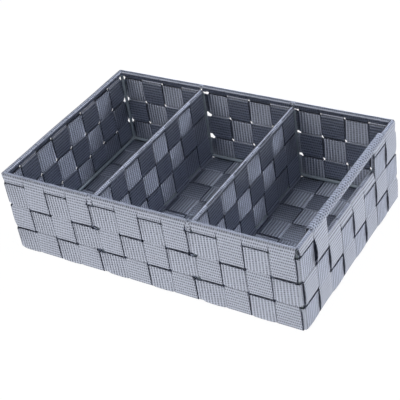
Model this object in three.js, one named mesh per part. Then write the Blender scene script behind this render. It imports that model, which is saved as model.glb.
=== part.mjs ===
import * as THREE from 'three';

// Bathroom organizer: three compartments of flat woven webbing over a wire frame.
// Millimetres, +Z up, origin at the middle of the underside, +Y towards the back.

// overall
const length = 322;
const depth = 210;
const height = 93.5;

// webbing
const strapThickness = 0.9;
const layerGap = 0.3;
const strapSlack = 1.3;
const ringSlack = 2.5;
const uprightSlack = 1.2;
const endMargin = 3;
const rise = THREE.MathUtils.degToRad(55);
const bendRadius = 1;
const cornerRadius = 2.1;

// weave counts
const acrossCount = 12;
const perBay = 4;
const deepCount = 8;
const rowCount = 3;
const slotFrom = 3;
const slotTo = 6;

// heights
const ringBase = 1.5;
const ringDrop = 7.85;
const slotRise = 9.75;
const tabReach = 5.45;
const tabTail = 1.1;
const footRise = 5.75;
const trimStep = 1;

// wire frame
const wireRadius = 2;
const wireGap = 0.35;
const weldGap = 0.3;
const wireSides = 10;
const hoopBend = 5;
const rimBend = 3;
const foldSteps = 7;

// dividers
const dividerGap = 5;
const dividerBend = 3.5;
const dividerDrop = 3.45;
const dividerSideGap = 1;
const railTopGap = 0.75;
const uprightFootRise = 1.8;
const tieSideGap = 0.5;

// handle grip
const gripWidth = 8.3;
const gripEndGap = 0.45;
const gripFoot = 5.6;
const gripClose = THREE.MathUtils.degToRad(42);
const gripSteps = 9;

const halfLength = length / 2;
const halfDepth = depth / 2;

// two levels of the weave and the folds over the wires
const outer = strapThickness / 2;
const inner = outer + strapThickness + layerGap;
const swing = (inner - outer) / 2;
const run = (inner - outer) / Math.tan(rise);
const foldRadius = wireRadius + wireGap + outer;
const weaveDepth = 2 * strapThickness + layerGap;
const wireDepth = weaveDepth + weldGap + wireRadius;
const rimDepth = outer + foldRadius;
const foldReach = outer + 2 * foldRadius + strapThickness / 2;

// spacing of the wall straps
const bayGaps = acrossCount / perBay - 1;
const acrossPitch = (length - bayGaps * dividerGap - 2 * endMargin) / acrossCount;
const deepPitch = (depth - 2 * endMargin) / deepCount;
const acrossWidth = acrossPitch - strapSlack;
const deepWidth = deepPitch - strapSlack;
const edgeGap = strapSlack / 2;
const cornerTrim = foldReach + weldGap - endMargin - edgeGap;

// rings, measured down from the rim
const rimZ = height - gripWidth / 2;
const postTop = rimZ - wireRadius - weldGap;
const ringTop = rimZ - ringDrop;
const ringWidth = (ringTop - ringBase - (rowCount - 1) * ringSlack) / rowCount;
const ringHalf = ringWidth / 2;
const rows = [...Array(rowCount).keys()].map((i) => i + 1);
const ringZ = rows.map((r) => ringTop - ringHalf - (r - 1) * (ringWidth + ringSlack));
const slotWireZ = ringZ[1] + ringHalf + slotRise;

// divider wires, rails and uprights
const postX = halfLength - wireDepth;
const postY = halfDepth - wireDepth;
const dividerTopZ = rimZ - dividerDrop;
const dividerBaseZ = weaveDepth + weldGap + outer + foldRadius;
const railTop = dividerTopZ - wireRadius - railTopGap;
const railBase = dividerBaseZ + wireRadius + weldGap;
const railWidth = (railTop - railBase - (rowCount - 1) * strapSlack) / rowCount;
const railHalf = railWidth / 2;
const railPitch = railWidth + strapSlack;
const railZ = rows.map((r) => railTop - railHalf - (r - 1) * railPitch);
const uprightPitch = (2 * (postY - wireRadius - dividerSideGap)) / deepCount;
const uprightWidth = uprightPitch - uprightSlack;
const uprightEdge = (j) => (j - 1 - deepCount / 2) * uprightPitch;
const railEnd = (deepCount / 2) * uprightPitch - uprightSlack / 2;

const webbing = (name) => new THREE.MeshStandardMaterial({ name, color: 0x8f929d, roughness: 0.75 });
const paint = (name) => {
  return new THREE.MeshStandardMaterial({ name, color: 0x7d8584, roughness: 0.45, metalness: 0.2 });
};

const organizer = new THREE.Group();
organizer.name = 'bathroom_organizer';

const v2 = (x, y, r = 0, trim = 0) => ({ p: new THREE.Vector2(x, y), r, trim });

// Turns marked corners of a route into short arcs.
function soften(route, steps, closed) {
  const out = [];
  const n = route.length;
  route.forEach((node, i) => {
    const ends = !closed && (i === 0 || i === n - 1);
    if (!node.r || ends) {
      out.push(node);
      return;
    }
    const a = route[(i + n - 1) % n].p.clone().sub(node.p).normalize();
    const b = route[(i + 1) % n].p.clone().sub(node.p).normalize();
    const half = Math.acos(THREE.MathUtils.clamp(a.dot(b), -1, 1)) / 2;
    const reach = node.r / Math.tan(half);
    const middle = a.clone().add(b).normalize();
    const centre = node.p.clone().addScaledVector(middle, node.r / Math.sin(half));
    const from = node.p.clone().addScaledVector(a, reach).sub(centre);
    const to = node.p.clone().addScaledVector(b, reach).sub(centre);
    let sweep = to.angle() - from.angle();
    if (sweep > Math.PI) sweep -= 2 * Math.PI;
    if (sweep < -Math.PI) sweep += 2 * Math.PI;
    for (let s = 0; s <= steps; s += 1) {
      const p = from.clone().rotateAround(new THREE.Vector2(), (sweep * s) / steps).add(centre);
      out.push({ p, r: 0, trim: 0 });
    }
  });
  return out;
}

// Offsets a route to one side with mitred joints.
function offset(points, by, closed) {
  const n = points.length;
  return points.map((p, i) => {
    const before = closed || i > 0 ? points[(i + n - 1) % n] : null;
    const after = closed || i < n - 1 ? points[(i + 1) % n] : null;
    const a = before ? p.clone().sub(before).normalize() : after.clone().sub(p).normalize();
    const b = after ? after.clone().sub(p).normalize() : a.clone();
    const normalA = new THREE.Vector2(-a.y, a.x);
    const normalB = new THREE.Vector2(-b.y, b.x);
    const mitre = normalA.clone().add(normalB).normalize();
    return p.clone().addScaledVector(mitre, by / mitre.dot(normalA));
  });
}

// Joins a row of four-sided or round sections into one closed body.
function skin(sections, closed) {
  const sides = sections[0].length;
  const n = sections.length;
  const index = [];
  const spans = closed ? n : n - 1;
  for (let i = 0; i < spans; i += 1) {
    for (let s = 0; s < sides; s += 1) {
      const a = i * sides + s;
      const b = i * sides + ((s + 1) % sides);
      const c = ((i + 1) % n) * sides + s;
      const d = ((i + 1) % n) * sides + ((s + 1) % sides);
      index.push(a, c, b, b, c, d);
    }
  }
  const far = (n - 1) * sides;
  for (let s = 1; s < sides - 1 && !closed; s += 1) {
    index.push(0, s, s + 1, far, far + s + 1, far + s);
  }
  const geometry = new THREE.BufferGeometry();
  const position = sections.flat().flatMap((q) => [q.x, q.y, q.z]);
  geometry.setAttribute('position', new THREE.Float32BufferAttribute(position, 3));
  geometry.setIndex(index);
  geometry.computeVertexNormals();
  return geometry;
}

// A strap is its route given thickness and drawn out to its width.
// A trim above zero takes that much off the low side of the width, below zero off the high side.
function strapBody(route, thickness, width, closed = false) {
  const nodes = soften(route, 2, closed);
  const points = nodes.map((node) => node.p);
  const left = offset(points, thickness / 2, closed);
  const right = offset(points, -thickness / 2, closed);
  const sections = nodes.map((node, i) => {
    const low = Math.max(0, node.trim);
    const high = width - Math.max(0, -node.trim);
    return [
      new THREE.Vector3(left[i].x, left[i].y, low),
      new THREE.Vector3(right[i].x, right[i].y, low),
      new THREE.Vector3(right[i].x, right[i].y, high),
      new THREE.Vector3(left[i].x, left[i].y, high),
    ];
  });
  return skin(sections, closed);
}

const alongX = new THREE.Matrix4().makeBasis(
  new THREE.Vector3(0, 1, 0),
  new THREE.Vector3(0, 0, 1),
  new THREE.Vector3(1, 0, 0),
);
const alongY = new THREE.Matrix4().makeBasis(
  new THREE.Vector3(1, 0, 0),
  new THREE.Vector3(0, 0, 1),
  new THREE.Vector3(0, -1, 0),
);

function add(name, geometry, material) {
  const mesh = new THREE.Mesh(geometry, material);
  mesh.name = name;
  organizer.add(mesh);
}

// Steps from level to level at each boundary, the over and under of the weave.
function weave(bounds, levels) {
  const direction = Math.sign(bounds[bounds.length - 1] - bounds[0]) || 1;
  const out = [];
  bounds.forEach((at, i) => {
    if (levels[i] === levels[i + 1]) return;
    out.push([at - (direction * run) / 2, levels[i]]);
    out.push([at + (direction * run) / 2, levels[i + 1]]);
  });
  return out;
}

// Angle at which a line from a foot touches the fold circle, on the given side.
function touch(centre, foot, side) {
  const dx = foot[0] - centre[0];
  const dz = foot[1] - centre[1];
  const spread = Math.acos(Math.min(1, foldRadius / Math.hypot(dx, dz)));
  return Math.atan2(dz, dx) + side * spread;
}

function arc(centre, from, to, steps) {
  const out = [];
  for (let i = 0; i <= steps; i += 1) {
    const angle = from + ((to - from) * i) / steps;
    out.push([centre[0] + foldRadius * Math.cos(angle), centre[1] + foldRadius * Math.sin(angle)]);
  }
  return out;
}

// End of a wall strap: from its tail inside, over the wire, to the outer face.
// Distances are measured inwards from the outer face, then upwards.
function overWire(centreDepth, centreZ) {
  const centre = [centreDepth, centreZ];
  const lean = centreDepth - foldRadius > outer + 0.01;
  const outerFoot = [outer, centreZ - footRise];
  const innerFoot = [inner, centreZ - tabReach + tabTail];
  const from = lean ? touch(centre, outerFoot, -1) + 2 * Math.PI : Math.PI;
  const turn = arc(centre, touch(centre, innerFoot, 1), from, foldSteps);
  return [[inner, centreZ - tabReach], innerFoot, ...turn, outerFoot];
}

// Wall part of a strap, downwards, as inward distance, height and trim.
function wallPart(levelsDown, trim, overSlot) {
  const top = overSlot ? overWire(wireDepth, slotWireZ) : overWire(rimDepth, rimZ);
  const first = overSlot ? 1 : 0;
  const edge = ringZ[first] + ringHalf + strapThickness;
  const bounds = [edge];
  for (let r = first; r < ringZ.length - 1; r += 1) bounds.push((ringZ[r] + ringZ[r + 1]) / 2);
  const steps = weave(bounds, [outer, ...levelsDown.slice(first)]).map(([z, d]) => [d, z, 0]);
  if (trim) steps.unshift([outer, edge + trimStep, 0]);
  return [...top.map(([d, z]) => [d, z, trim]), ...steps];
}

// A wall strap runs down one wall, across the floor and up the other.
function throughStrap(half, bounds, levels, trim, slotSide) {
  const front = wallPart(levels.start, trim, false).map(([d, z, t]) => v2(d - half, z, 0, t));
  const back = wallPart(levels.end, trim, slotSide).map(([d, z, t]) => v2(half - d, z, 0, t));
  const low = [v2(levels.start[2] - half, outer, bendRadius)];
  const edges = [endMargin - half, ...bounds, half - endMargin];
  weave(edges, [outer, ...levels.floor, outer]).forEach(([u, d]) => low.push(v2(u, d)));
  low.push(v2(half - levels.end[2], outer, bendRadius));
  return [...front, ...low, ...back.reverse()];
}

const level = (isOuter) => (isOuter ? outer : inner);
const odd = (n) => n % 2 !== 0;
const across = [...Array(acrossCount).keys()].map((i) => i + 1);
const deep = [...Array(deepCount).keys()].map((i) => i + 1);
const bay = (k) => Math.floor((k - 1) / perBay);
const leftEdge = (k) => endMargin - halfLength + (k - 1) * acrossPitch + bay(k) * dividerGap;
const frontEdge = (j) => endMargin - halfDepth + (j - 1) * deepPitch;
const dividerX = [1, 2].map((n) => leftEdge(n * perBay + 1) - dividerGap / 2);

// front to back straps
const deepBounds = deep.slice(1).map(frontEdge);
across.forEach((k) => {
  const levels = {
    start: rows.map((r) => level(odd(k + r))),
    floor: deep.map((j) => level(!odd(k + j))),
    end: rows.map((r) => level(!odd(k + r))),
  };
  const trim = cornerTrim * ((k === 1) - (k === acrossCount));
  const route = throughStrap(halfDepth, deepBounds, levels, trim, false);
  const body = strapBody(route, strapThickness, acrossWidth).applyMatrix4(alongX);
  body.translate(leftEdge(k) + edgeGap, 0, 0);
  add(`front_back_strap_${String(k).padStart(2, '0')}`, body, webbing('webbing_front_back'));
});

// Boundaries along the length, with the bare gap at each divider on the outer level.
function acrossWeave(levelOf) {
  const bounds = [];
  const levels = [];
  across.forEach((k) => {
    levels.push(levelOf(k));
    if (k === acrossCount) return;
    bounds.push(leftEdge(k) + acrossPitch);
    if (bay(k) !== bay(k + 1)) {
      levels.push(outer);
      bounds.push(leftEdge(k + 1));
    }
  });
  return { bounds, levels };
}

// left to right straps
deep.forEach((j) => {
  const floor = acrossWeave((k) => level(odd(j + k)));
  const levels = {
    start: rows.map((r) => level(!odd(j + r))),
    floor: floor.levels,
    end: rows.map((r) => level(odd(j + r))),
  };
  const trim = cornerTrim * ((j === deepCount) - (j === 1));
  const slot = j >= slotFrom && j <= slotTo;
  const route = throughStrap(halfLength, floor.bounds, levels, trim, slot);
  const body = strapBody(route, strapThickness, deepWidth).applyMatrix4(alongY);
  body.translate(0, frontEdge(j) + edgeGap + deepWidth, 0);
  add(`left_right_strap_${j}`, body, webbing('webbing_left_right'));
});

// One side of a ring strap as points from its start corner to its end corner.
function ringSide(place, bounds, levels, from, to) {
  const inside = (u) => u > Math.min(from, to) && u < Math.max(from, to);
  return weave(bounds, levels).filter(([u]) => inside(u)).map(([u, d]) => place(u, d));
}

const onFront = (u, d) => v2(u, d - halfDepth);
const onRight = (u, d) => v2(halfLength - d, u);
const onBack = (u, d) => v2(u, halfDepth - d);
const onLeft = (u, d) => v2(d - halfLength, u);

function ringRoute(row) {
  const front = acrossWeave((k) => level(!odd(k + row)));
  const back = acrossWeave((k) => level(odd(k + row)));
  const right = deep.map((j) => level(!odd(j + row)));
  const left = deep.map((j) => level(odd(j + row)));
  const corner = (x, y, sx, sy) => v2(sx * (halfLength - x), sy * (halfDepth - y), cornerRadius);
  const last = deepCount - 1;
  const end = front.levels.length - 1;
  const sides = {
    front: ringSide(onFront, front.bounds, front.levels, -halfLength, halfLength),
    right: ringSide(onRight, deepBounds, right, -halfDepth, halfDepth),
    back: ringSide(onBack, back.bounds, back.levels, -halfLength, halfLength).reverse(),
    left: ringSide(onLeft, deepBounds, left, -halfDepth, halfDepth).reverse(),
  };
  const corners = {
    frontRight: corner(right[0], front.levels[end], 1, -1),
    backRight: corner(right[last], back.levels[end], 1, 1),
    backLeft: corner(left[last], back.levels[0], -1, 1),
    frontLeft: corner(left[0], front.levels[0], -1, -1),
  };
  return { sides, corners, right };
}

function addRing(name, row, route, closed) {
  const body = strapBody(route, strapThickness, ringWidth, closed);
  body.translate(0, 0, ringZ[row - 1] - ringHalf);
  add(name, body, webbing('webbing_ring'));
}

// The upper ring stops on both sides of the handle slot.
const slotStart = frontEdge(slotFrom) - edgeGap;
const slotEnd = frontEdge(slotTo + 1) + edgeGap;
function upperRing() {
  const { sides, corners, right } = ringRoute(1);
  const begin = v2(halfLength - right[slotTo], slotEnd);
  const after = sides.right.filter((node) => node.p.y > slotEnd);
  const before = sides.right.filter((node) => node.p.y < slotStart);
  const finish = v2(halfLength - right[slotFrom - 2], slotStart);
  const loop = [begin, ...after, corners.backRight, ...sides.back, corners.backLeft, ...sides.left];
  loop.push(corners.frontLeft, ...sides.front, corners.frontRight, ...before, finish);
  addRing('ring_strap_upper', 1, loop, false);
}
upperRing();
[['ring_strap_middle', 2], ['ring_strap_lower', 3]].forEach(([name, row]) => {
  const { sides, corners } = ringRoute(row);
  const loop = [...sides.front, corners.frontRight, ...sides.right, corners.backRight];
  loop.push(...sides.back, corners.backLeft, ...sides.left, corners.frontLeft);
  addRing(name, row, loop, true);
});

// Fold of an upright round a divider wire: up is 1 at the top wire and -1 at the base wire.
function hookRound(centreZ, foot, up) {
  const side = Math.sign(foot[0]);
  const lean = Math.abs(touch([0, 0], [Math.abs(foot[0]), -Math.abs(foot[1] - centreZ)], 1));
  const past = Math.PI + THREE.MathUtils.degToRad(up > 0 ? 25 : 5);
  const points = arc([0, 0], -lean, past, foldSteps - 1);
  return points.map(([x, z]) => [side * x, centreZ + up * z]);
}

// Both dividers: rails woven through uprights that fold round their own two wires.
dividerX.forEach((x, n) => {
  const label = `divider_${n + 1}`;
  rows.forEach((r, i) => {
    const levels = deep.map((j) => (odd(j + r) ? -swing : swing));
    const bounds = deep.slice(1).map(uprightEdge);
    const steps = weave(bounds, levels).map(([u, d]) => v2(d, u));
    const route = [v2(levels[0], -railEnd), ...steps, v2(levels[deepCount - 1], railEnd)];
    const body = strapBody(route, strapThickness, railWidth);
    body.translate(x, 0, railZ[i] - railHalf);
    add(`${label}_rail_${['upper', 'middle', 'lower'][i]}`, body, webbing('webbing_rail'));
  });
  deep.forEach((j) => {
    const levels = rows.map((r) => (odd(j + r) ? swing : -swing));
    const bounds = [railZ[0] - railPitch / 2, railZ[1] - railPitch / 2];
    const topFoot = [levels[0], railTop];
    const baseFoot = [levels[rowCount - 1], railBase + uprightFootRise];
    const top = hookRound(dividerTopZ, topFoot, 1).reverse();
    const base = hookRound(dividerBaseZ, baseFoot, -1);
    const steps = weave(bounds, levels).map(([z, d]) => [d, z]);
    const route = [...top, topFoot, ...steps, baseFoot, ...base].map(([d, z]) => v2(d, z));
    const body = strapBody(route, strapThickness, uprightWidth).applyMatrix4(alongY);
    body.translate(x, uprightEdge(j) + uprightSlack / 2 + uprightWidth, 0);
    add(`${label}_upright_${j}`, body, webbing('webbing_upright'));
  });
});

// Short ties that hold each divider to the rim wire in the gap between wall straps.
const tieWidth = dividerGap + 2 * edgeGap - 2 * tieSideGap;
const tieFoot = ringTop + strapThickness;
dividerX.forEach((x, n) => {
  [['front', -1], ['back', 1]].forEach(([where, side]) => {
    const turn = arc([rimDepth, rimZ], Math.PI, THREE.MathUtils.degToRad(-5), 6);
    const route = [[outer, tieFoot], ...turn].map(([d, z]) => v2(side * (halfDepth - d), z));
    const body = strapBody(route, strapThickness, tieWidth).applyMatrix4(alongX);
    body.translate(x - tieWidth / 2, 0, 0);
    add(`divider_${n + 1}_tie_${where}`, body, webbing('webbing_tie'));
  });
});

// Round wire along a flat route, its sections mitred at every corner.
function wireBody(points, up, closed) {
  const n = points.length;
  const sections = points.map((p, i) => {
    const before = closed || i > 0 ? points[(i + n - 1) % n] : p;
    const after = closed || i < n - 1 ? points[(i + 1) % n] : p;
    const a = p.clone().sub(before).normalize();
    const b = after.clone().sub(p).normalize();
    const along = a.clone().add(b).normalize();
    const side = new THREE.Vector3().crossVectors(along, up).normalize();
    const stretch = 1 / along.dot(a.lengthSq() > 0 ? a : b);
    const ring = [];
    for (let s = 0; s < wireSides; s += 1) {
      const angle = (2 * Math.PI * (s + 0.5)) / wireSides;
      const q = p.clone().addScaledVector(side, wireRadius * stretch * Math.cos(angle));
      ring.push(q.addScaledVector(up, wireRadius * Math.sin(angle)));
    }
    return ring;
  });
  return skin(sections, closed);
}

const upright3 = new THREE.Vector3(0, 0, 1);
const lengthwise = new THREE.Vector3(1, 0, 0);

// rim
const rimX = halfLength - rimDepth;
const rimY = halfDepth - rimDepth;
const rimRoute = [[-1, -1], [1, -1], [1, 1], [-1, 1]].map(([a, b]) => v2(a * rimX, b * rimY, rimBend));
const rimPoints = soften(rimRoute, 4, true).map(({ p }) => new THREE.Vector3(p.x, p.y, rimZ));
add('rim_wire', wireBody(rimPoints, upright3, true), paint('wire_paint'));

// hoops in the y-z plane
function hoop(x, halfWidth, topZ, turnZ, bend) {
  const route = [
    v2(-halfWidth, topZ),
    v2(-halfWidth, turnZ, bend),
    v2(halfWidth, turnZ, bend),
    v2(halfWidth, topZ),
  ];
  const points = soften(route, 4, false).map(({ p }) => new THREE.Vector3(x, p.x, p.y));
  return wireBody(points, lengthwise, false);
}
add('end_hoop_left', hoop(-postX, postY, postTop, wireDepth, hoopBend), paint('wire_paint'));
add('end_hoop_right', hoop(postX, postY, postTop, wireDepth, hoopBend), paint('wire_paint'));

const rod = (from, to, up) => wireBody([from, to], up, false);
const baseReach = postX - wireRadius - weldGap;
[['front', -1], ['back', 1]].forEach(([where, side]) => {
  const from = new THREE.Vector3(-baseReach, side * postY, wireDepth);
  const to = new THREE.Vector3(baseReach, side * postY, wireDepth);
  add(`base_wire_${where}`, rod(from, to, upright3), paint('wire_paint'));
});

const innerReach = postY - wireRadius - weldGap;
const dividerFoot = wireDepth + wireRadius + weldGap;
dividerX.forEach((x, n) => {
  const frame = hoop(x, postY, dividerFoot, dividerTopZ, dividerBend);
  add(`divider_${n + 1}_hoop`, frame, paint('wire_paint'));
  const from = new THREE.Vector3(x, -innerReach, dividerBaseZ);
  const to = new THREE.Vector3(x, innerReach, dividerBaseZ);
  add(`divider_${n + 1}_base_wire`, rod(from, to, upright3), paint('wire_paint'));
});

const slotFromY = new THREE.Vector3(postX, -innerReach, slotWireZ);
const slotToY = new THREE.Vector3(postX, innerReach, slotWireZ);
add('slot_wire', rod(slotFromY, slotToY, upright3), paint('wire_paint'));

// Webbing closed loosely round the rim wire over the slot.
function handleGrip() {
  const centre = [gripWidth / 2, rimZ];
  const radius = gripWidth / 2 - outer;
  const half = outer + layerGap / 2;
  const from = -gripClose;
  const to = Math.PI + gripClose;
  const route = [v2(centre[0] + half, rimZ - gripFoot)];
  for (let i = 0; i <= gripSteps; i += 1) {
    const angle = from + ((to - from) * i) / gripSteps;
    route.push(v2(centre[0] + radius * Math.cos(angle), rimZ + radius * Math.sin(angle)));
  }
  route.push(v2(centre[0] - half, rimZ - gripFoot));
  route.forEach((node) => node.p.setX(halfLength - node.p.x));
  const gripLength = slotEnd - slotStart - 2 * gripEndGap;
  const body = strapBody(route, strapThickness, gripLength).applyMatrix4(alongY);
  body.translate(0, slotEnd - gripEndGap, 0);
  add('handle_grip', body, webbing('webbing_grip'));
}
handleGrip();

export default organizer;
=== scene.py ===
import bpy
import math
from mathutils import Matrix, Vector, noise


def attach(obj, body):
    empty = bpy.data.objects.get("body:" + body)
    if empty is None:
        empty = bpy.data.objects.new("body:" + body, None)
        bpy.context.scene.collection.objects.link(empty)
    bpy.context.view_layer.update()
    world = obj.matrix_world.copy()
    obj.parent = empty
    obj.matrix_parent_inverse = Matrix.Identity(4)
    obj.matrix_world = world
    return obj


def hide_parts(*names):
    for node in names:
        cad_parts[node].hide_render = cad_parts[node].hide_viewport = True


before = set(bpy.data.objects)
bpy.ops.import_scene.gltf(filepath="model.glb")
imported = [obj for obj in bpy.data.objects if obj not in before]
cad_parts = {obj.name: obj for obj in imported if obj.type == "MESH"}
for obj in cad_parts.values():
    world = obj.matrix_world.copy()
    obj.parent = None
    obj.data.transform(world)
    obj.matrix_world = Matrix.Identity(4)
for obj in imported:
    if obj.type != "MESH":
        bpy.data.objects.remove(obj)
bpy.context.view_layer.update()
mm = 0.001
samePlace = 0.01    # points nearer to each other than this, in millimetres, are one

# where the photographer stood, in metres and degrees
camera = {"place": (0.4907, -0.6709, 0.6322), "turn": 36.50, "tilt": 35.98, "roll": -9.66, "lens": 93.3,
          "sensor": 36, "clipEnd": 20}


# turned about the upright, tilted down and rolled about the line of sight
def lookFrom(turn, tilt, roll):
    turn, tilt, roll = (math.radians(a) for a in (turn, tilt, roll))
    forward = Vector((-math.sin(turn) * math.cos(tilt), math.cos(turn) * math.cos(tilt), -math.sin(tilt)))
    right = Vector((math.cos(turn), math.sin(turn), 0))
    up = right.cross(forward)
    side = math.cos(roll) * right + math.sin(roll) * up
    top = -math.sin(roll) * right + math.cos(roll) * up
    return Matrix((side, top, -forward)).transposed().to_euler()


bpy.ops.object.camera_add(location=camera["place"])
photoCamera = bpy.context.object
photoCamera.rotation_euler = lookFrom(camera["turn"], camera["tilt"], camera["roll"])
photoCamera.data.lens = camera["lens"]
photoCamera.data.sensor_width = camera["sensor"]
photoCamera.data.clip_end = camera["clipEnd"]
bpy.context.scene.camera = photoCamera
print("camera placed")


# an sRGB hex colour as a linear one
def linear(hexColour):
    values = [int(hexColour[i:i + 2], 16) / 255 for i in (1, 3, 5)]
    return tuple(v / 12.92 if v <= 0.04045 else ((v + 0.055) / 1.055) ** 2.4 for v in values) + (1,)


# adds one node: settings are its own values or those of its sockets, by name or number, and links are its
# sockets and the nodes that feed them
def addNode(tree, kind, settings=None, links=None):
    node = tree.nodes.new(kind)
    for name, value in (settings or {}).items():
        if isinstance(name, int) or name in node.inputs:
            node.inputs[name].default_value = value
        else:
            setattr(node, name, value)
    for name, source in (links or {}).items():
        tree.links.new(source.outputs[0] if hasattr(source, "outputs") else source, node.inputs[name])
    return node


def newMaterial(name):
    material = bpy.data.materials.new(name)
    material.use_nodes = True
    material.node_tree.nodes.clear()
    return material, material.node_tree, addNode(material.node_tree, "ShaderNodeOutputMaterial")


webbingLook = {
    "yarn": "#d5dae8",        # dyed polypropylene, seen on the crest of a rib
    "hollowShade": "#252d45",      # painted shade in the hollows between ribs and yarns, and the dark end of the uneven fibres and dye
    "edge": "#343a4e",        # painted shade on the strap's sides and outer edge, where the seams between straps fall in shade, and between the selvage loops
    "ribPitch": 3.19 * mm,    # eight ribs to a crossing, twice as coarse as the real ones so that they show
    "yarnPitch": 2.1 * mm,    # warp yarns, three times as coarse for the same reason
    "slant": 0.0,             # how far a rib leans along the strap, as in a twill
    "ribRelief": 0.22 * mm,
    "yarnRelief": 0.20 * mm,
    "crest": 2.0,             # how narrow a rib is at its top
    "top": 1.02,              # how bright the crests are
    "furrowShade": 0.15,           # how dark the painted shade in the furrows between ribs is
    "depth": 1.0,             # how dark the painted shade in the dots between ribs and yarns is
    "fibres": 0.8,            # how much single fibres differ
    "fibreScale": 900.0,      # tufts of about a millimetre, coarse enough to show
    "dye": 0.24,              # how unevenly the dye took
    "dyeScale": 28.0,         # clouds of about 35 mm
    "shadedSelvage": 0.45 * mm,     # depth of the loops along the edge, and so of the painted shade there
    "loops": 1.5,             # how far they stand out from each other
    "edgeBlur": 0.25 * mm,
    "roughness": 0.50,
    "ior": 1.49,
    "metallic": 0.9,          # matched: flat drawn yarns shine in their own colour, as silk does
    "anisotropy": 0.96,
    "sheenTurn": 0.25,        # a quarter turn, from along the strap to across it
}
# the tape at the second divider, woven as a twill
tieLook = dict(webbingLook, hollowShade="#1f2638", ribPitch=2.8 * mm, slant=0.8, ribRelief=0.3 * mm)
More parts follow.
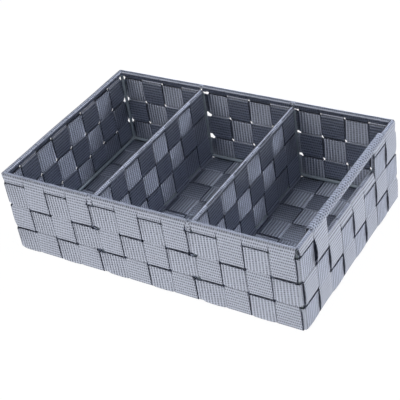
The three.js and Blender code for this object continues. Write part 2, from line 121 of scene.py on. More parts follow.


# Woven polypropylene webbing: flat shiny warp yarns over weft ribs. The yarns run along the strap, so the
# sheen is silky across it, bright where a strap faces the light end on and dark where it stands upright. Its
# colour carries painted shade in the hollows of the weave and on the strap's edges.
def makeWebbing(name, look):
    material, tree, output = newMaterial(name)
    strapUV = addNode(tree, "ShaderNodeUVMap", {"uv_map": "strap"})
    parts = addNode(tree, "ShaderNodeSeparateXYZ", links={0: strapUV})
    along, inward = parts.outputs[0], parts.outputs[1]    # metres along, and in from the nearer edge
    slanted = addNode(tree, "ShaderNodeMath", {"operation": "MULTIPLY_ADD", 1: look["slant"]},
                      {0: inward, 2: along})
    ribs = addNode(tree, "ShaderNodeMath", {"operation": "DIVIDE", 1: look["ribPitch"]}, {0: slanted})
    ribTurn = addNode(tree, "ShaderNodeMath", {"operation": "MULTIPLY", 1: math.pi}, {0: ribs})
    ribSine = addNode(tree, "ShaderNodeMath", {"operation": "SINE"}, {0: ribTurn})
    ribWave = addNode(tree, "ShaderNodeMath", {"operation": "ABSOLUTE"}, {0: ribSine})
    rib = addNode(tree, "ShaderNodeMath", {"operation": "POWER", 1: look["crest"]}, {0: ribWave})

    # yarns lie half a pitch further on every other rib
    ribNumber = addNode(tree, "ShaderNodeMath", {"operation": "ROUND"}, {0: ribs})
    stagger = addNode(tree, "ShaderNodeMath", {"operation": "MULTIPLY", 1: 0.5}, {0: ribNumber})
    yarns = addNode(tree, "ShaderNodeMath", {"operation": "MULTIPLY_ADD", 1: 1 / look["yarnPitch"]},
                    {0: inward, 2: stagger})
    yarnTurn = addNode(tree, "ShaderNodeMath", {"operation": "MULTIPLY", 1: math.pi}, {0: yarns})
    yarnSine = addNode(tree, "ShaderNodeMath", {"operation": "SINE"}, {0: yarnTurn})
    yarn = addNode(tree, "ShaderNodeMath", {"operation": "ABSOLUTE"}, {0: yarnSine})

    # painted shade between ribs and yarns, then uneven fibres and dye, each with a mean of one
    place = addNode(tree, "ShaderNodeTexCoord").outputs["Object"]
    fuzz = addNode(tree, "ShaderNodeTexNoise", {"Scale": look["fibreScale"], "Detail": 2.0},
                   {"Vector": place})
    patches = addNode(tree, "ShaderNodeTexNoise", {"Scale": look["dyeScale"], "Detail": 3.0},
                      {"Vector": place})
    # painted shade: darker in the furrows off the ribs, darkest in the dots where ribs and yarns both dip
    offRib = addNode(tree, "ShaderNodeMath", {"operation": "SUBTRACT", 0: 1.0}, {1: rib})
    offYarn = addNode(tree, "ShaderNodeMath", {"operation": "SUBTRACT", 0: 1.0}, {1: yarn})
    dotShade = addNode(tree, "ShaderNodeMath", {"operation": "MULTIPLY"}, {0: offRib, 1: offYarn})
    furrowShading = addNode(tree, "ShaderNodeMath",
                      {"operation": "MULTIPLY_ADD", 1: -look["furrowShade"], 2: look["top"]}, {0: offRib})
    weaveShade = addNode(tree, "ShaderNodeMath", {"operation": "MULTIPLY_ADD", 1: -look["depth"]},
                    {0: dotShade, 2: furrowShading})
    worn = addNode(tree, "ShaderNodeMath",
                   {"operation": "MULTIPLY_ADD", 1: look["fibres"], 2: 1 - look["fibres"] / 2}, {0: fuzz})
    shadeAndFibres = addNode(tree, "ShaderNodeMath", {"operation": "MULTIPLY"}, {0: weaveShade, 1: worn})
    cloud = addNode(tree, "ShaderNodeMath",
                    {"operation": "MULTIPLY_ADD", 1: look["dye"], 2: 1 - look["dye"] / 2}, {0: patches})
    shade = addNode(tree, "ShaderNodeMath", {"operation": "MULTIPLY"}, {0: shadeAndFibres, 1: cloud})
    face = addNode(tree, "ShaderNodeMix",
                   {"data_type": "RGBA", 6: linear(look["hollowShade"]), 7: linear(look["yarn"])}, {0: shade})

    # the selvage: two loops to a rib, with painted shade in the bite between them and on the strap's edge and
    # sides
    loopTurn = addNode(tree, "ShaderNodeMath", {"operation": "MULTIPLY", 1: 2 * math.pi}, {0: ribs})
    loopSine = addNode(tree, "ShaderNodeMath", {"operation": "SINE"}, {0: loopTurn})
    loops = addNode(tree, "ShaderNodeMath", {"operation": "ABSOLUTE"}, {0: loopSine})
    bite = addNode(tree, "ShaderNodeMath",
                   {"operation": "MULTIPLY_ADD", 1: -look["loops"] * look["shadedSelvage"], 2: look["shadedSelvage"]},
                   {0: loops})
    fromEdge = addNode(tree, "ShaderNodeMath", {"operation": "SUBTRACT"}, {0: inward, 1: bite})
    shadedSelvage = addNode(tree, "ShaderNodeMapRange", {"From Min": 0.0, "From Max": look["edgeBlur"]},
                      {"Value": fromEdge})
    colour = addNode(tree, "ShaderNodeMix", {"data_type": "RGBA", 6: linear(look["edge"])},
                     {0: shadedSelvage, 7: face.outputs[2]})

    ribBump = addNode(tree, "ShaderNodeBump", {"Strength": 1.0, "Distance": look["ribRelief"]},
                      {"Height": rib})
    bump = addNode(tree, "ShaderNodeBump", {"Strength": 1.0, "Distance": look["yarnRelief"]},
                   {"Height": shadeAndFibres, "Normal": ribBump})
    tangent = addNode(tree, "ShaderNodeTangent", {"direction_type": "UV_MAP", "uv_map": "strap"})
    shader = addNode(tree, "ShaderNodeBsdfPrincipled",
                     {"Roughness": look["roughness"], "IOR": look["ior"], "Metallic": look["metallic"],
                      "Anisotropic": look["anisotropy"], "Anisotropic Rotation": look["sheenTurn"]},
                     {"Base Color": colour.outputs[2], "Normal": bump, "Tangent": tangent})
    tree.links.new(shader.outputs[0], output.inputs[0])
    return material


wireLook = {
    "paint": "#b0bcc3",
    "thin": 0.8,               # how bright the paint is where it lies thinnest
    "coatScale": 60.0,         # thicker and thinner patches of about 15 mm
    "orangePeel": 1.6 * mm,    # from one hump to the next
    "peelRelief": 0.05 * mm,
    "peelStrength": 0.3,
    "roughness": 0.34,
    "ior": 1.5,
}


# Powder coated steel wire: sprayed and baked, a smooth satin paint with a faint orange peel.
def makePaint(name, look):
    material, tree, output = newMaterial(name)
    place = addNode(tree, "ShaderNodeTexCoord").outputs["Object"]
    peel = addNode(tree, "ShaderNodeTexNoise", {"Scale": 1 / look["orangePeel"], "Detail": 1.0},
                   {"Vector": place})
    coat = addNode(tree, "ShaderNodeTexNoise", {"Scale": look["coatScale"], "Detail": 3.0}, {"Vector": place})
    paint = linear(look["paint"])
    darker = tuple(look["thin"] * v for v in paint[:3]) + (1,)
    colour = addNode(tree, "ShaderNodeMix", {"data_type": "RGBA", 6: darker, 7: paint}, {0: coat})
    bump = addNode(tree, "ShaderNodeBump", {"Strength": look["peelStrength"], "Distance": look["peelRelief"]},
                   {"Height": peel})
    shader = addNode(tree, "ShaderNodeBsdfPrincipled", {"Roughness": look["roughness"], "IOR": look["ior"]},
                     {"Base Color": colour.outputs[2], "Normal": bump})
    tree.links.new(shader.outputs[0], output.inputs[0])
    return material


wovenWebbing = makeWebbing("woven_polypropylene_webbing", webbingLook)
twillTape = makeWebbing("twill_woven_polypropylene_tape", tieLook)
powderCoat = makePaint("powder_coated_steel_wire", wireLook)
print("materials made")

# the whole tray in millimetres, as on the frame
tray = {
    "halfLength": 161.0,
    "halfDepth": 105.0,
    "rim": 89.35,                       # height of the rim wire, and how deep it lies under the outer face
    "rimDepth": 3.25,
    "straps": (12, 8, 3),               # front to back, left to right, and the rings
    "pitch": 25.5,
    "margin": 3.0,                      # from a wall to the edge of the first strap
    "compartment": 4,                   # straps between two dividers
    "dividerGap": 5.0,
    "dividers": (-53.5, 53.5),
    "outer": 0.45,                      # how deep the middle of a strap lies under the outer face, on top
    "inner": 1.65,                      # and underneath
    "rows": (82.4, 55.25, 27.75),       # where a wall strap changes sides
    "wallZone": 4.0,                    # all of a wall lies within this
}
webbing = {
    "thick": 0.9,
    "bevel": 0.25,
    "bevelSegments": 2,
    "bevelAngle": 60,
    "smoothAngle": 40,
    "columns": 4,                       # faces across a strap
    "pillow": 0.36,                     # how far the middle of a block swells
    "foldRadius": 2.3,
    "foldSteps": 16,
    "corner": 2.5,                      # between wall and floor
    "cornerSteps": 5,
    "flare": 0.6,                       # how far a fold over a wire spreads on each side
    "waist": 0.75,                      # how far a strap draws in on each side where it changes sides
    "waistReach": 2.4,
    "toEdge": 12.0,                     # from the middle of a strap to its edge
    "drawnBack": 1.4,                   # how far an edge gives way beside a post or a gap
    "holeReach": 3.0,
    "floorZone": 8.0,                   # but not below this
    "lift": 0.9,                        # how far a near edge stands out in the right wall
    "slotLift": 2.2,                    # and beside the slot
    "liftSwell": 0.6,                   # how soon, from a crossing on
    "sway": 0.45,
    "swayLength": 70.0,
    "swaySeed": 1,                      # without one the sway is another at each run
    "swayFrom": 30.0,                   # less below this, so that the underside stays flat
}

outer, inner = tray["outer"], tray["inner"]
middle = (outer + inner) / 2
fromLeft, fromFront, fromTop = (range(1, count + 1) for count in tray["straps"])
isOdd = lambda n: n % 2 == 1
level = lambda isOuter: outer if isOuter else inner
firstLeft, firstFront = tray["margin"] - tray["halfLength"], tray["margin"] - tray["halfDepth"]
dividersBefore = lambda k: (k - 1) // tray["compartment"]
leftEdge = lambda k: firstLeft + tray["pitch"] * (k - 1) + tray["dividerGap"] * dividersBefore(k)
frontEdge = lambda j: firstFront + tray["pitch"] * (j - 1)
pieces = []


def smoothStep(t):
    t = min(1, max(0, t))
    return t * t * (3 - 2 * t)


# where a route has its points, as shares of a step, of a block and of a block shorter than so many runs
spacing = {"step": (0, 0.3, 0.6, 1), "block": (0.11, 0.2, 0.35, 0.5, 0.65, 0.8, 0.89),
           "short": (0, 0.25, 0.5, 0.75), "shortRuns": 2.5}


# over and under along a row of blocks, each one pillowed, and drawn in a little where it changes sides
def weaveLine(edges, levels, run, centre=middle, waist=webbing["waist"]):
    points = []
    reach = [min(run / 2, abs(edges[n + 1] - edges[n])) for n in range(len(levels))]
    for i, here in enumerate(levels):
        start, end = edges[i], edges[i + 1]
        span = end - start
        way = math.copysign(1, span)
        startStep = way * min(reach[max(0, i - 1)], reach[i])
        endStep = way * min(reach[i], reach[min(i + 1, len(levels) - 1)])
        before = levels[i - 1] if i else here
        after = levels[i + 1] if i + 1 < len(levels) else here
        pillow = webbing["pillow"] * min(1, (abs(span) / tray["pitch"]) ** 2) * (1 if here > centre else -1)
        places = [start + startStep * f for f in spacing["step"]]
        places += [start + span * f for f in spacing["block"]]
        places += [end - endStep * f for f in spacing["step"][:0:-1]]
        if abs(span) < spacing["shortRuns"] * run:
            places = [start + span * f for f in spacing["short"]]
        for u in places:
            depth = here + pillow * math.sin(math.pi * (u - start) / span)
            depth += (before - here) * (1 - smoothStep((u - start) / (2 * startStep) + 0.5))
            depth += (after - here) * smoothStep((u - end) / (2 * endStep) + 0.5)
            nearest = min((abs(u - edge) for edge in edges[1:-1]), default=math.inf)
            points.append((u, depth, -waist * math.exp(-(nearest / webbing["waistReach"]) ** 2)))
    points.append((edges[-1], levels[-1], 0))
    return points


def arc(centre, radius, start, end, steps):
    angles = [math.radians(start + (end - start) * i / steps) for i in range(steps + 1)]
    return [(centre[0] + radius * math.cos(a), centre[1] + radius * math.sin(a)) for a in angles]


# the angle at which a straight run from its foot meets the fold round a wire
def touchAngle(centre, foot, side):
    dx, dz = foot[0] - centre[0], foot[1] - centre[1]
    lean = math.acos(min(1, webbing["foldRadius"] / math.hypot(dx, dz)))
    return math.degrees(math.atan2(dz, dx) + side * lean)


# A strap is one straight edge extruded along its route, then given its thickness. A route point is two places
# in millimetres, and how much the strap spreads or draws in there on each side. A wrapped strap runs the
# other way and is closed round a wire by its width.
def makeStrap(name, route, width, closed=False, wrapped=False, columns=webbing["columns"],
              material=wovenWebbing):
    bpy.ops.object.select_all(action="DESELECT")
    x0, y0 = route[0][0] * mm, route[0][1] * mm
    bpy.ops.mesh.primitive_plane_add(size=width * mm, location=(x0, y0, width * mm / 2),
                                     rotation=(math.pi / 2, 0, 0))
    piece = bpy.context.object
    piece.name = piece.data.name = name
    bpy.ops.object.transform_apply(location=True, rotation=True, scale=True)
    bpy.ops.object.mode_set(mode="EDIT")
    bpy.ops.mesh.select_all(action="DESELECT")
    bpy.ops.object.mode_set(mode="OBJECT")
    for vertex in piece.data.vertices:
        vertex.select = vertex.co.x > x0
    bpy.ops.object.mode_set(mode="EDIT")
    bpy.ops.mesh.delete(type="VERT")
    bpy.ops.mesh.select_all(action="SELECT")
    bpy.ops.mesh.subdivide(number_cuts=columns - 1)
    bpy.ops.transform.translate(value=(width * mm / 2, 0, 0))
    for before, after in zip(route, route[1:] + route[:1] if closed else route[1:]):
        step = ((after[0] - before[0]) * mm, (after[1] - before[1]) * mm, 0)
        bpy.ops.mesh.extrude_region_move(TRANSFORM_OT_translate={"value": step})
    bpy.ops.object.mode_set(mode="OBJECT")

    # the strap's own coordinates come before its edges are drawn in
    mesh = piece.data
    perRow = columns + 1
    lengths = [0.0]
    for i in range(1, len(mesh.vertices) // perRow):
        step = mesh.vertices[i * perRow].co - mesh.vertices[(i - 1) * perRow].co
        lengths.append(lengths[-1] + step.length)
    layer = mesh.uv_layers[0] if mesh.uv_layers else mesh.uv_layers.new()
    layer.name = "strap"
    for loop in mesh.loops:
        z, far = mesh.vertices[loop.vertex_index].co.z, lengths[loop.vertex_index // perRow]
        inFromEdge = min(z, width * mm - z)
        layer.data[loop.index].uv = (z, min(far, lengths[-1] - far)) if wrapped else (far, inFromEdge)
    rows = list(route) + [route[0]]
    for vertex in mesh.vertices:
        point = rows[vertex.index // perRow]
        if len(point) > 2:
            vertex.co.z += point[2] * mm * (2 * vertex.co.z / (width * mm) - 1)
    if closed:
        bpy.ops.object.mode_set(mode="EDIT")
        bpy.ops.mesh.select_all(action="SELECT")
        bpy.ops.mesh.remove_doubles(threshold=samePlace * mm)
        bpy.ops.object.mode_set(mode="OBJECT")
    bpy.ops.object.modifier_add(type="SOLIDIFY")
    solid = piece.modifiers[-1]
    solid.thickness, solid.offset, solid.use_even_offset = webbing["thick"] * mm, 0, True
    bpy.ops.object.modifier_apply(modifier=solid.name)
    bpy.ops.object.modifier_add(type="BEVEL")
    bevel = piece.modifiers[-1]
    bevel.width, bevel.segments = webbing["bevel"] * mm, webbing["bevelSegments"]
    bevel.limit_method, bevel.angle_limit = "ANGLE", math.radians(webbing["bevelAngle"])
    bpy.ops.object.modifier_apply(modifier=bevel.name)
    bpy.ops.object.shade_smooth_by_angle(angle=math.radians(webbing["smoothAngle"]))
    piece.data.materials.append(material)
    return piece


def copyPiece(source, name, matrix):
    piece = source.copy()
    piece.data = source.data.copy()
    piece.name = piece.data.name = name
    bpy.context.collection.objects.link(piece)
    piece.data.transform(matrix)
    return piece


# where the straps give way more or less than elsewhere, because the weave is looser or tighter there
unevenPlaces = [
    {"x": (-math.inf, -35), "y": (90, math.inf), "share": 1.5},      # back left, as far as the first divider
    {"x": (150, math.inf), "y": (-math.inf, -94), "share": 0.35},    # front right corner
    {"x": (35, 75), "y": (94, math.inf), "share": 0.35},             # behind the second divider
]


def giveWay(x, y):
    for place in unevenPlaces:
        if place["x"][0] < x < place["x"][1] and place["y"][0] < y < place["y"][1]:
            return place["share"]
    return 1


# beside a corner post or a divider's gap a strap is drawn back from the hole, side is 1 or -1 along its axis
def drawBack(piece, axis, centre, side):
    for vertex in piece.data.vertices:
        toEdge = side * (vertex.co[axis] / mm - centre) / webbing["toEdge"]
        if toEdge > 0 and vertex.co.z > webbing["floorZone"] * mm:
            fromRow = min(abs(vertex.co.z / mm - row) for row in tray["rows"])
            share = webbing["drawnBack"] * giveWay(vertex.co.x / mm, vertex.co.y / mm)
            inHole = math.exp(-(fromRow / webbing["holeReach"]) ** 2)
            vertex.co[axis] -= side * share * mm * toEdge ** 3 * inHole


# the near edges of the straps in the right wall stand proud of the rings, most of all beside the slot
def liftEdge(piece, j):
    endsAtSlot = wallStrap["slotFirst"] <= j <= wallStrap["slotLast"]
    limits = [*tray["rows"], outer]
    blocks = [(row, limits[row - 1], limits[row]) for row in fromTop
              if isOdd(j + row) and not (endsAtSlot and row == 1)]
    for vertex in piece.data.vertices:
        x, y, z = vertex.co / mm
        toEdge = (frontEdge(j) + tray["pitch"] / 2 - y) / webbing["toEdge"]
        if x < tray["halfLength"] - tray["wallZone"] or toEdge < 0:
            continue
        for row, high, low in blocks:
            if low < z < high:
                besideSlot = j == wallStrap["slotFirst"] - 1 and row == 1
                lift = webbing["slotLift"] if besideSlot else webbing["lift"]
                swell = math.sin(math.pi * (z - low) / (high - low)) ** webbing["liftSwell"]
                vertex.co.x += lift * mm * toEdge ** 2 * swell


# a finished piece takes the place of its node, which is hidden
def standFor(piece, node):
    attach(piece, "root")
    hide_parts(node)
    pieces.append(piece)


# turns a route and its width into the wall that it runs in
acrossDepth = Matrix(((0, 0, 1, 0), (1, 0, 0, 0), (0, 1, 0, 0), (0, 0, 0, 1)))
acrossLength = Matrix(((1, 0, 0, 0), (0, 0, -1, 0), (0, 1, 0, 0), (0, 0, 0, 1)))
move = lambda x, y, z: Matrix.Translation((x * mm, y * mm, z * mm))

wallStrap = {
    "width": 24.8,
    "rowRun": 3.0,              # over what length it changes sides in a wall, and on the floor
    "floorRun": 2.2,
    "outerFoot": 5.75,          # how far under the wire a fold ends on each side, and the tail
    "innerFoot": 4.35,
    "tail": 5.45,
    "flareFrom": 6.0,           # the flare starts this far under the wire
    "flareRun": 5.0,
    "rimWaist": 0.4,            # share of the waist at the top crossing, above rimZone
    "rimZone": 76.0,
    "slotWire": (4.4, 63.75),   # depth and height of the wire under the slot
    "slotRows": (54.9, 27.75),
    "slotFirst": 3,             # the straps that end there
    "slotLast": 6,
}


# the end of a wall strap, from its tail inside, over a wire and down to the outer face
def overWire(depth, z):
    outerFoot, innerFoot = (outer, z - wallStrap["outerFoot"]), (inner, z - wallStrap["innerFoot"])
    leans = depth - webbing["foldRadius"] > outer + samePlace
    first = touchAngle((depth, z), innerFoot, 1)
    last = touchAngle((depth, z), outerFoot, -1) + 360 if leans else 180
    turn = arc((depth, z), webbing["foldRadius"], first, last, webbing["foldSteps"])
    easeIn = [tuple(a + (b - a) * f for a, b in zip(innerFoot, turn[0])) for f in (0.33, 0.66)]
    points = [(inner, z - wallStrap["tail"]), innerFoot, *easeIn, *turn, outerFoot]
    flare = lambda h: webbing["flare"] * smoothStep((h - z + wallStrap["flareFrom"]) / wallStrap["flareRun"])
    return [(d, h, flare(h)) for d, h in points]


# one wall, from its tail down to the floor: depth, height and spread
def wallRoute(levels, overSlot):
    top = overWire(*wallStrap["slotWire"]) if overSlot else overWire(tray["rimDepth"], tray["rim"])
    edges = [top[-1][1], *(wallStrap["slotRows"] if overSlot else tray["rows"])]
    rows = levels[1:] if overSlot else levels
    bend = webbing["corner"] - rows[-1]
    low = outer + bend
    line = weaveLine([*edges, low], [outer, *rows], wallStrap["rowRun"])[1:]
    line = [(d, z, wide * (wallStrap["rimWaist"] if z > wallStrap["rimZone"] else 1)) for z, d, wide in line]
    turn = arc((webbing["corner"], low), bend, 180, 270, webbing["cornerSteps"])[1:]
    return top + line + [(d, z, 0) for d, z in turn]


# down one wall, under or over the floor, and up the other
def throughRoute(half, floorEdges, levels, overSlot):
    front = [(d - half, z, wide) for d, z, wide in wallRoute(levels["start"], False)]
    back = [(half - d, z, wide) for d, z, wide in wallRoute(levels["end"], overSlot)]
    edges = [front[-1][0], *floorEdges, back[-1][0]]
    floor = weaveLine(edges, [outer, *levels["floor"], outer], wallStrap["floorRun"], waist=0)
    return front + floor[1:-1] + back[::-1]


# odd and even straps step the opposite way, so one of each is modelled and copied
floorAcross = [frontEdge(j) for j in range(1, len(fromFront) + 2)]
spare = (tray["pitch"] - wallStrap["width"]) / 2
for odd in (1, 0):
    levels = {
        "start": [level(isOdd(odd + row)) for row in fromTop],
        "floor": [level(not isOdd(odd + j)) for j in fromFront],
        "end": [level(not isOdd(odd + row)) for row in fromTop],
    }
    route = throughRoute(tray["halfDepth"], floorAcross, levels, False)
    pattern = makeStrap("pattern", route, wallStrap["width"])
    pattern.data.transform(acrossDepth)
    for k in fromLeft:
        if k % 2 == odd:
            name = "front_back_strap_%02d" % k
            piece = copyPiece(pattern, "woven_" + name, move(leftEdge(k) + spare, 0, 0))
            isLast, isFirst = k % tray["compartment"] == 0, k % tray["compartment"] == 1
            if isLast or isFirst:
                drawBack(piece, 0, leftEdge(k) + tray["pitch"] / 2, 1 if isLast else -1)
            standFor(piece, name)
    bpy.data.objects.remove(pattern)
print("front to back straps made")


# the row of blocks along the length, with the bare gap at each divider
def acrossWeave(levelOf):
    edges, levels = [leftEdge(1)], []
    for k in fromLeft:
        levels.append(levelOf(k))
        edges.append(leftEdge(k) + tray["pitch"])
        if k % tray["compartment"] == 0 and k < len(fromLeft):
            levels.append(outer)
            edges.append(leftEdge(k + 1))
    return edges, levels


for odd in (1, 0):
    floorAlong, floorLevels = acrossWeave(lambda k: level(isOdd(odd + k)))
    levels = {
        "start": [level(not isOdd(odd + row)) for row in fromTop],
        "floor": floorLevels,
        "end": [level(isOdd(odd + row)) for row in fromTop],
    }
    for atSlot in (False, True):
        route = throughRoute(tray["halfLength"], floorAlong, levels, atSlot)
        pattern = makeStrap("pattern", route, wallStrap["width"])
        pattern.data.transform(acrossLength)
        for j in fromFront:
            if j % 2 == odd and (wallStrap["slotFirst"] <= j <= wallStrap["slotLast"]) == atSlot:
                name = "left_right_strap_%d" % j
                place = move(0, frontEdge(j) + spare + wallStrap["width"], 0)
                piece = copyPiece(pattern, "woven_" + name, place)
                if j in (fromFront[0], fromFront[-1]):
                    drawBack(piece, 1, frontEdge(j) + tray["pitch"] / 2, -1 if j == fromFront[0] else 1)
                liftEdge(piece, j)
                standFor(piece, name)
        bpy.data.objects.remove(pattern)
print("left to right straps made")

ringStrap = {
    "names": ("upper", "middle", "lower"),
    "heights": (69.0, 41.5, 14.0),
    "width": 25.7,
    "run": 2.2,
    "corner": 2.6,
    "cornerSteps": 6,
    "cornerWaist": 2.1,    # how far it draws in round a post: all of it up to a distance, then fading out
    "cornerHold": 1.3,
    "cornerFade": 7.0,
    "gapWaist": 1.3,       # the same over the gap at a divider
    "gapHold": 1.4,
    "gapFade": 5.0,
}


# the four sides of a ring, and the turns between them from the front right corner on
def ringRoute(row):
    frontEdges, front = acrossWeave(lambda k: level(not isOdd(k + row)))
    backEdges, back = acrossWeave(lambda k: level(isOdd(k + row)))
    right = [level(not isOdd(j + row)) for j in fromFront]
    left = [level(isOdd(j + row)) for j in fromFront]
    wallX, wallY, bend = tray["halfLength"], tray["halfDepth"], ringStrap["corner"]

    def side(edges, levels, place, low, high):
        line = weaveLine([low, *edges[1:-1], high], levels, ringStrap["run"])
        return [(*place(u, d), wide) for u, d, wide in line]

    frontSide = side(frontEdges, front, lambda u, d: (u, d - wallY),
                     -wallX + left[0] + bend, wallX - right[0] - bend)
    rightSide = side(floorAcross, right, lambda u, d: (wallX - d, u),
                     -wallY + front[-1] + bend, wallY - back[-1] - bend)
    backSide = side(backEdges, back, lambda u, d: (u, wallY - d),
                    -wallX + left[-1] + bend, wallX - right[-1] - bend)[::-1]
    leftSide = side(floorAcross, left, lambda u, d: (d - wallX, u),
                    -wallY + front[0] + bend, wallY - back[0] - bend)[::-1]
    centres = [
        (wallX - right[0] - bend, -wallY + front[-1] + bend),
        (wallX - right[-1] - bend, wallY - back[-1] - bend),
        (-wallX + left[-1] + bend, wallY - back[0] - bend),
        (-wallX + left[0] + bend, -wallY + front[0] + bend),
    ]
    turns = [arc(centre, bend, angle, angle + 90, ringStrap["cornerSteps"])[1:-1]
             for centre, angle in zip(centres, (-90, 0, 90, 180))]
    turns = [[(x, y, 0) for x, y in turn] for turn in turns]
    return frontSide, rightSide, backSide, leftSide, turns


# a strap bent round a post draws in, and so does one that bridges the gap at a divider
def drawnIn(point):
    x, y, wide = point
    fromCorner = math.hypot(abs(x) - tray["halfLength"], abs(y) - tray["halfDepth"])
    fromGap = min(abs(x - middleX) for middleX in tray["dividers"])
    cornerShare = smoothStep(ringStrap["cornerHold"] - fromCorner / ringStrap["cornerFade"])
    waist = ringStrap["cornerWaist"] * cornerShare * giveWay(x, y)
    if abs(y) > tray["halfDepth"] - tray["wallZone"]:
        gapShare = smoothStep(ringStrap["gapHold"] - fromGap / ringStrap["gapFade"]) * giveWay(x, y)
        waist = max(waist, ringStrap["gapWaist"] * gapShare)
    return x, y, min(wide, -waist)


slotStart = frontEdge(wallStrap["slotFirst"]) - spare
slotEnd = frontEdge(wallStrap["slotLast"] + 1) + spare
for row, where, height in zip(fromTop, ringStrap["names"], ringStrap["heights"]):
    frontSide, rightSide, backSide, leftSide, turns = ringRoute(row)
    if row == 1:
        ahead = [p for p in rightSide if p[1] > slotEnd]
        behind = [p for p in rightSide if p[1] < slotStart]
        ahead.insert(0, (ahead[0][0], slotEnd, 0))
        behind.append((behind[-1][0], slotStart, 0))
        route = ahead + turns[1] + backSide + turns[2] + leftSide + turns[3] + frontSide + turns[0] + behind
    else:
        route = frontSide + turns[0] + rightSide + turns[1] + backSide + turns[2] + leftSide + turns[3]
    route = [drawnIn(point) for point in route]
    piece = makeStrap("woven_ring_strap_" + where, route, ringStrap["width"], closed=row > 1)
    piece.data.transform(move(0, 0, height - ringStrap["width"] / 2))
    standFor(piece, "ring_strap_" + where)
print("ring straps made")

divider = {
    "top": 85.9,                          # heights of its two wires
    "base": 5.65,
    "swing": 0.6,                         # how far a strap swings out from its middle on each side
    "run": 2.2,
    "rails": {"upper": 71.05, "middle": 45.55, "lower": 20.05},
    "railWidth": 24.7,
    "railEnd": 97.0,
    "pitch": 24.4,
    "uprightWidth": 23.7,
    "rows": (83.15, 58.3, 32.8, 9.75),    # where an upright leaves a fold, changes sides twice and meets one
    "topHook": 205,                       # how far round a wire its fold ends, in degrees
    "baseHook": 185,
}
uprightEdges = [n * divider["pitch"] for n in range(-4, 5)]
for odd in (1, 0):
    levels = [-divider["swing"] if isOdd(j + odd) else divider["swing"] for j in fromFront]
    edges = [-divider["railEnd"], *uprightEdges[1:-1], divider["railEnd"]]
    route = [(d, u, wide) for u, d, wide in weaveLine(edges, levels, divider["run"], 0)]
    pattern = makeStrap("pattern", route, divider["railWidth"])
    for n, x in enumerate(tray["dividers"], 1):
        for row, (where, height) in enumerate(divider["rails"].items(), 1):
            if row % 2 == odd:
                name = "divider_%d_rail_%s" % (n, where)
                place = move(x, 0, height - divider["railWidth"] / 2)
                standFor(copyPiece(pattern, "woven_" + name, place), name)
    bpy.data.objects.remove(pattern)


# fold round a divider wire, up is 1 at the top wire and -1 at the base wire
def hookRound(z, foot, up):
    side = math.copysign(1, foot[0])
    lean = abs(touchAngle((0, 0), (abs(foot[0]), -abs(foot[1] - z)), 1))
    end = divider["topHook"] if up > 0 else divider["baseHook"]
    turn = arc((0, 0), webbing["foldRadius"], -lean, end, webbing["foldSteps"])
    return [(side * x, z + up * h, webbing["flare"]) for x, h in turn]


for odd in (1, 0):
    levels = [divider["swing"] if isOdd(odd + row) else -divider["swing"] for row in fromTop]
    topFoot, baseFoot = (levels[0], divider["rows"][0]), (levels[-1], divider["rows"][-1])
    line = [(d, z, wide) for z, d, wide in weaveLine(divider["rows"], levels, divider["run"], 0)]
    route = hookRound(divider["top"], topFoot, 1)[::-1] + line + hookRound(divider["base"], baseFoot, -1)
    pattern = makeStrap("pattern", route, divider["uprightWidth"])
    pattern.data.transform(acrossLength)
    for n, x in enumerate(tray["dividers"], 1):
        for j in fromFront:
            if j % 2 == odd:
                name = "divider_%d_upright_%d" % (n, j)
                place = move(x, uprightEdges[j - 1] + (divider["pitch"] + divider["uprightWidth"]) / 2, 0)
                standFor(copyPiece(pattern, "woven_" + name, place), name)
    bpy.data.objects.remove(pattern)

# folded over the rim wire in the gap at a divider, down to the top crossing outside
tie = {"width": 5.3, "insideEnd": -5, "steps": 14}
turn = arc((tray["rimDepth"], tray["rim"]), webbing["foldRadius"], 180, tie["insideEnd"], tie["steps"])
route = [(d - tray["halfDepth"], z) for d, z in [(outer, tray["rows"][0])] + turn]
pattern = makeStrap("pattern", route, tie["width"], material=twillTape)
pattern.data.transform(acrossDepth)
for n, x in enumerate(tray["dividers"], 1):
    for where in ("front", "back"):
        name = "divider_%d_tie_%s" % (n, where)
        turned = Matrix.Rotation(math.pi, 4, "Z") if where == "back" else Matrix.Identity(4)
        place = move(x, 0, 0) @ turned @ move(-tie["width"] / 2, 0, 0)
        piece = copyPiece(pattern, "woven_" + name, place)
        piece.data.materials[0] = wovenWebbing if n == 1 else twillTape
        standFor(piece, name)
bpy.data.objects.remove(pattern)
print("dividers made")

# webbing closed loosely round the rim wire over the slot, and over the folds of the straps beside it
grip = {
    "width": 8.3,
    "foot": 5.6,            # how far under the wire its edges meet
    "lips": 0.15,           # half the gap between them
    "close": 42.0,          # degrees that its round goes on under the wire on each side
    "steps": 24,
    "endGap": 0.45,
    "overStrap": 24.6,      # how far it passes the slot at each end
    "columns": 32,
}
gripX, gripFoot, lip = grip["width"] / 2, tray["rim"] - grip["foot"], outer + grip["lips"]
turn = arc((gripX, tray["rim"]), gripX - outer, -grip["close"], 180 + grip["close"], grip["steps"])
route = [(gripX + lip, gripFoot)] + turn + [(gripX - lip, gripFoot)]
route = [(tray["halfLength"] - d, z) for d, z in route]
gripEnd = slotEnd - grip["endGap"] + grip["overStrap"]
gripLength = gripEnd - (slotStart + grip["endGap"] - grip["overStrap"])
piece = makeStrap("woven_handle_grip", route, gripLength, columns=grip["columns"], wrapped=True)
piece.data.transform(move(0, gripEnd, 0) @ acrossLength)
standFor(piece, "handle_grip")
print("handle grip made")

wire = {
    "radius": 1.7,
    "sides": 20,
    "smoothAngle": 50,
    "depth": 4.4,         # of all but the rim wire, under the outer face
    "rimBend": 2.4,
    "hoopBend": 5.5,
    "bendSteps": 8,
    "hoopDrop": 2.2,      # how far under the rim wire the end hoops stop
    "hoopFoot": 2.0,      # how far over the base the divider hoops stop
    "baseEnd": 1.5,       # how far short of the posts the base wires stop
    "crossEnd": 1.8,      # and the ones from front to back
}


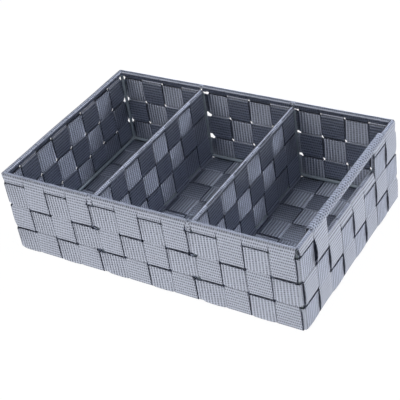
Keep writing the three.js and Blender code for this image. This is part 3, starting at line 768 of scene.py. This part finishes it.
# Round wire: a circle extruded along each leg and spun round each bend. A closed wire starts in the middle of
# a leg.
def makeWire(name, points, closed=False, bend=wire["hoopBend"]):
    corners = [Vector(p) * mm for p in points]
    if closed:
        start = (corners[0] + corners[-1]) / 2
        corners = [start, *corners, start]
    bend = bend * mm
    heading = (corners[1] - corners[0]).normalized()
    bpy.ops.object.select_all(action="DESELECT")
    bpy.ops.mesh.primitive_circle_add(vertices=wire["sides"], radius=wire["radius"] * mm, location=corners[0],
                                      rotation=heading.to_track_quat("Z", "Y").to_euler())
    piece = bpy.context.object
    piece.name = piece.data.name = "round_" + name
    bpy.ops.object.transform_apply(location=True, rotation=True, scale=True)
    bpy.ops.object.mode_set(mode="EDIT")
    bpy.ops.mesh.select_all(action="SELECT")
    here = corners[0]
    for i in range(1, len(corners)):
        last = i == len(corners) - 1
        stop = corners[i] if last else corners[i] - heading * bend
        bpy.ops.mesh.extrude_region_move(TRANSFORM_OT_translate={"value": stop - here})
        if not last:
            turned = (corners[i + 1] - corners[i]).normalized()
            axis = heading.cross(turned).normalized()
            bpy.ops.mesh.spin(steps=wire["bendSteps"], angle=-heading.angle(turned),
                              center=stop + turned * bend, axis=axis)
            here, heading = corners[i] + turned * bend, turned
    bpy.ops.mesh.select_all(action="SELECT")
    bpy.ops.mesh.remove_doubles(threshold=samePlace * mm)
    if not closed:
        bpy.ops.mesh.fill_holes(sides=0)
    bpy.ops.mesh.select_all(action="SELECT")
    bpy.ops.mesh.normals_make_consistent(inside=False)
    bpy.ops.object.mode_set(mode="OBJECT")
    bpy.ops.object.shade_smooth_by_angle(angle=math.radians(wire["smoothAngle"]))
    piece.data.materials.append(powderCoat)
    standFor(piece, name)


rimX, rimY = tray["halfLength"] - tray["rimDepth"], tray["halfDepth"] - tray["rimDepth"]
postX, postY = tray["halfLength"] - wire["depth"], tray["halfDepth"] - wire["depth"]
rim, base, postTop = tray["rim"], wire["depth"], tray["rim"] - wire["hoopDrop"]
baseX, crossY = postX - wire["baseEnd"], postY - wire["crossEnd"]
makeWire("rim_wire", [(-rimX, -rimY, rim), (rimX, -rimY, rim), (rimX, rimY, rim), (-rimX, rimY, rim)],
         True, wire["rimBend"])
for name, x in (("end_hoop_left", -postX), ("end_hoop_right", postX)):
    makeWire(name, [(x, -postY, postTop), (x, -postY, base), (x, postY, base), (x, postY, postTop)])
for name, y in (("base_wire_front", -postY), ("base_wire_back", postY)):
    makeWire(name, [(-baseX, y, base), (baseX, y, base)])
for n, x in enumerate(tray["dividers"], 1):
    foot, top = base + wire["hoopFoot"], divider["top"]
    makeWire("divider_%d_hoop" % n, [(x, -postY, foot), (x, -postY, top), (x, postY, top), (x, postY, foot)])
    makeWire("divider_%d_base_wire" % n, [(x, -crossY, divider["base"]), (x, crossY, divider["base"])])
slotDepth, slotZ = wallStrap["slotWire"]
slotX = tray["halfLength"] - slotDepth
makeWire("slot_wire", [(slotX, -crossY, slotZ), (slotX, crossY, slotZ)])
print("wire frame made")

# woven by hand: everything sways a little, neighbours together, and the underside stays flat
noise.seed_set(webbing["swaySeed"])
for piece in pieces:
    for vertex in piece.data.vertices:
        sway = noise.noise_vector(vertex.co / (webbing["swayLength"] * mm)) * webbing["sway"] * mm
        sway.z *= min(1, vertex.co.z / (webbing["swayFrom"] * mm))
        vertex.co += sway
print("straps loosened")

stage = {
    "paper": "#e4e4e4",
    "size": 30,
    "gap": 0.0004,       # under the tray, in metres
    "glow": 1.11,        # what the camera sees in place of the paper's own light, and the share that it has
    "glowShare": 0.85,
    "sky": 0.008,        # the world's light on the object, and what the camera sees of it
    "horizon": 0.945,
}
bpy.ops.object.select_all(action="DESELECT")
bpy.ops.mesh.primitive_plane_add(size=stage["size"], location=(0, 0, -stage["gap"]))
floor = bpy.context.object
floor.name = "studio_floor"
# White studio paper: matt, and burnt out to white where the camera or a reflection looks at it.
floorPaper, tree, output = newMaterial("white_studio_paper")
lightPath = addNode(tree, "ShaderNodeLightPath")
seen = addNode(tree, "ShaderNodeMath", {"operation": "MAXIMUM"},
               {0: lightPath.outputs["Is Camera Ray"], 1: lightPath.outputs["Is Glossy Ray"]})
share = addNode(tree, "ShaderNodeMath", {"operation": "MULTIPLY", 1: stage["glowShare"]}, {0: seen})
paper = addNode(tree, "ShaderNodeBsdfDiffuse", {"Color": linear(stage["paper"])})
glow = addNode(tree, "ShaderNodeEmission", {"Color": (1, 1, 1, 1), "Strength": stage["glow"]})
mix = addNode(tree, "ShaderNodeMixShader", links={0: share, 1: paper, 2: glow})
tree.links.new(mix.outputs[0], output.inputs[0])
floor.data.materials.append(floorPaper)

world = bpy.data.worlds.new("studio")
bpy.context.scene.world = world
world.use_nodes = True
tree = world.node_tree
tree.nodes.clear()
output = addNode(tree, "ShaderNodeOutputWorld")
lightPath = addNode(tree, "ShaderNodeLightPath")
seen = addNode(tree, "ShaderNodeMath", {"operation": "MAXIMUM"},
               {0: lightPath.outputs["Is Camera Ray"], 1: lightPath.outputs["Is Transmission Ray"]})
strength = addNode(tree, "ShaderNodeMapRange", {"To Min": stage["sky"], "To Max": stage["horizon"]},
                   {"Value": seen})
sky = addNode(tree, "ShaderNodeBackground", {"Color": (1, 1, 1, 1)}, {"Strength": strength})
tree.links.new(sky.outputs[0], output.inputs[0])

# each lamp: place, what it points at, width in metres, watts and colour; what comes from above and behind is
# a little cooler
lamps = {
    "key": ((-0.6, -1.0, 1.4), (0, 0, 0), 1.9, 9.0, "#ffffff"),
    "front_softbox": ((-0.4, -1.7, 0.7), (0, 0, 0.05), 1.2, 7.0, "#ffffff"),
    "top_softbox": ((-0.1, -0.1, 1.6), (-0.1, -0.1, 0), 1.3, 6.0, "#edf3ff"),
    "right_softbox": ((1.7, -0.2, 0.45), (0, 0, 0.05), 1.0, 7.0, "#ffffff"),
    "back_softbox": ((0.6, 1.5, 1.3), (0, 0, 0.05), 0.8, 14.0, "#edf3ff"),
    "rim_light": ((-0.3, 1.9, 0.35), (0, 0, 0.08), 0.9, 8.0, "#edf3ff"),
}
for name, (place, target, width, power, colour) in lamps.items():
    bpy.ops.object.light_add(type="AREA", location=place)
    lamp = bpy.context.object
    lamp.name = name
    lamp.data.shape, lamp.data.size, lamp.data.energy = "SQUARE", width, power
    lamp.data.color = linear(colour)[:3]
    lamp.rotation_euler = (Vector(target) - Vector(place)).to_track_quat("-Z", "Y").to_euler()
bpy.context.scene.view_settings.view_transform = "Standard"
print("stage lit")
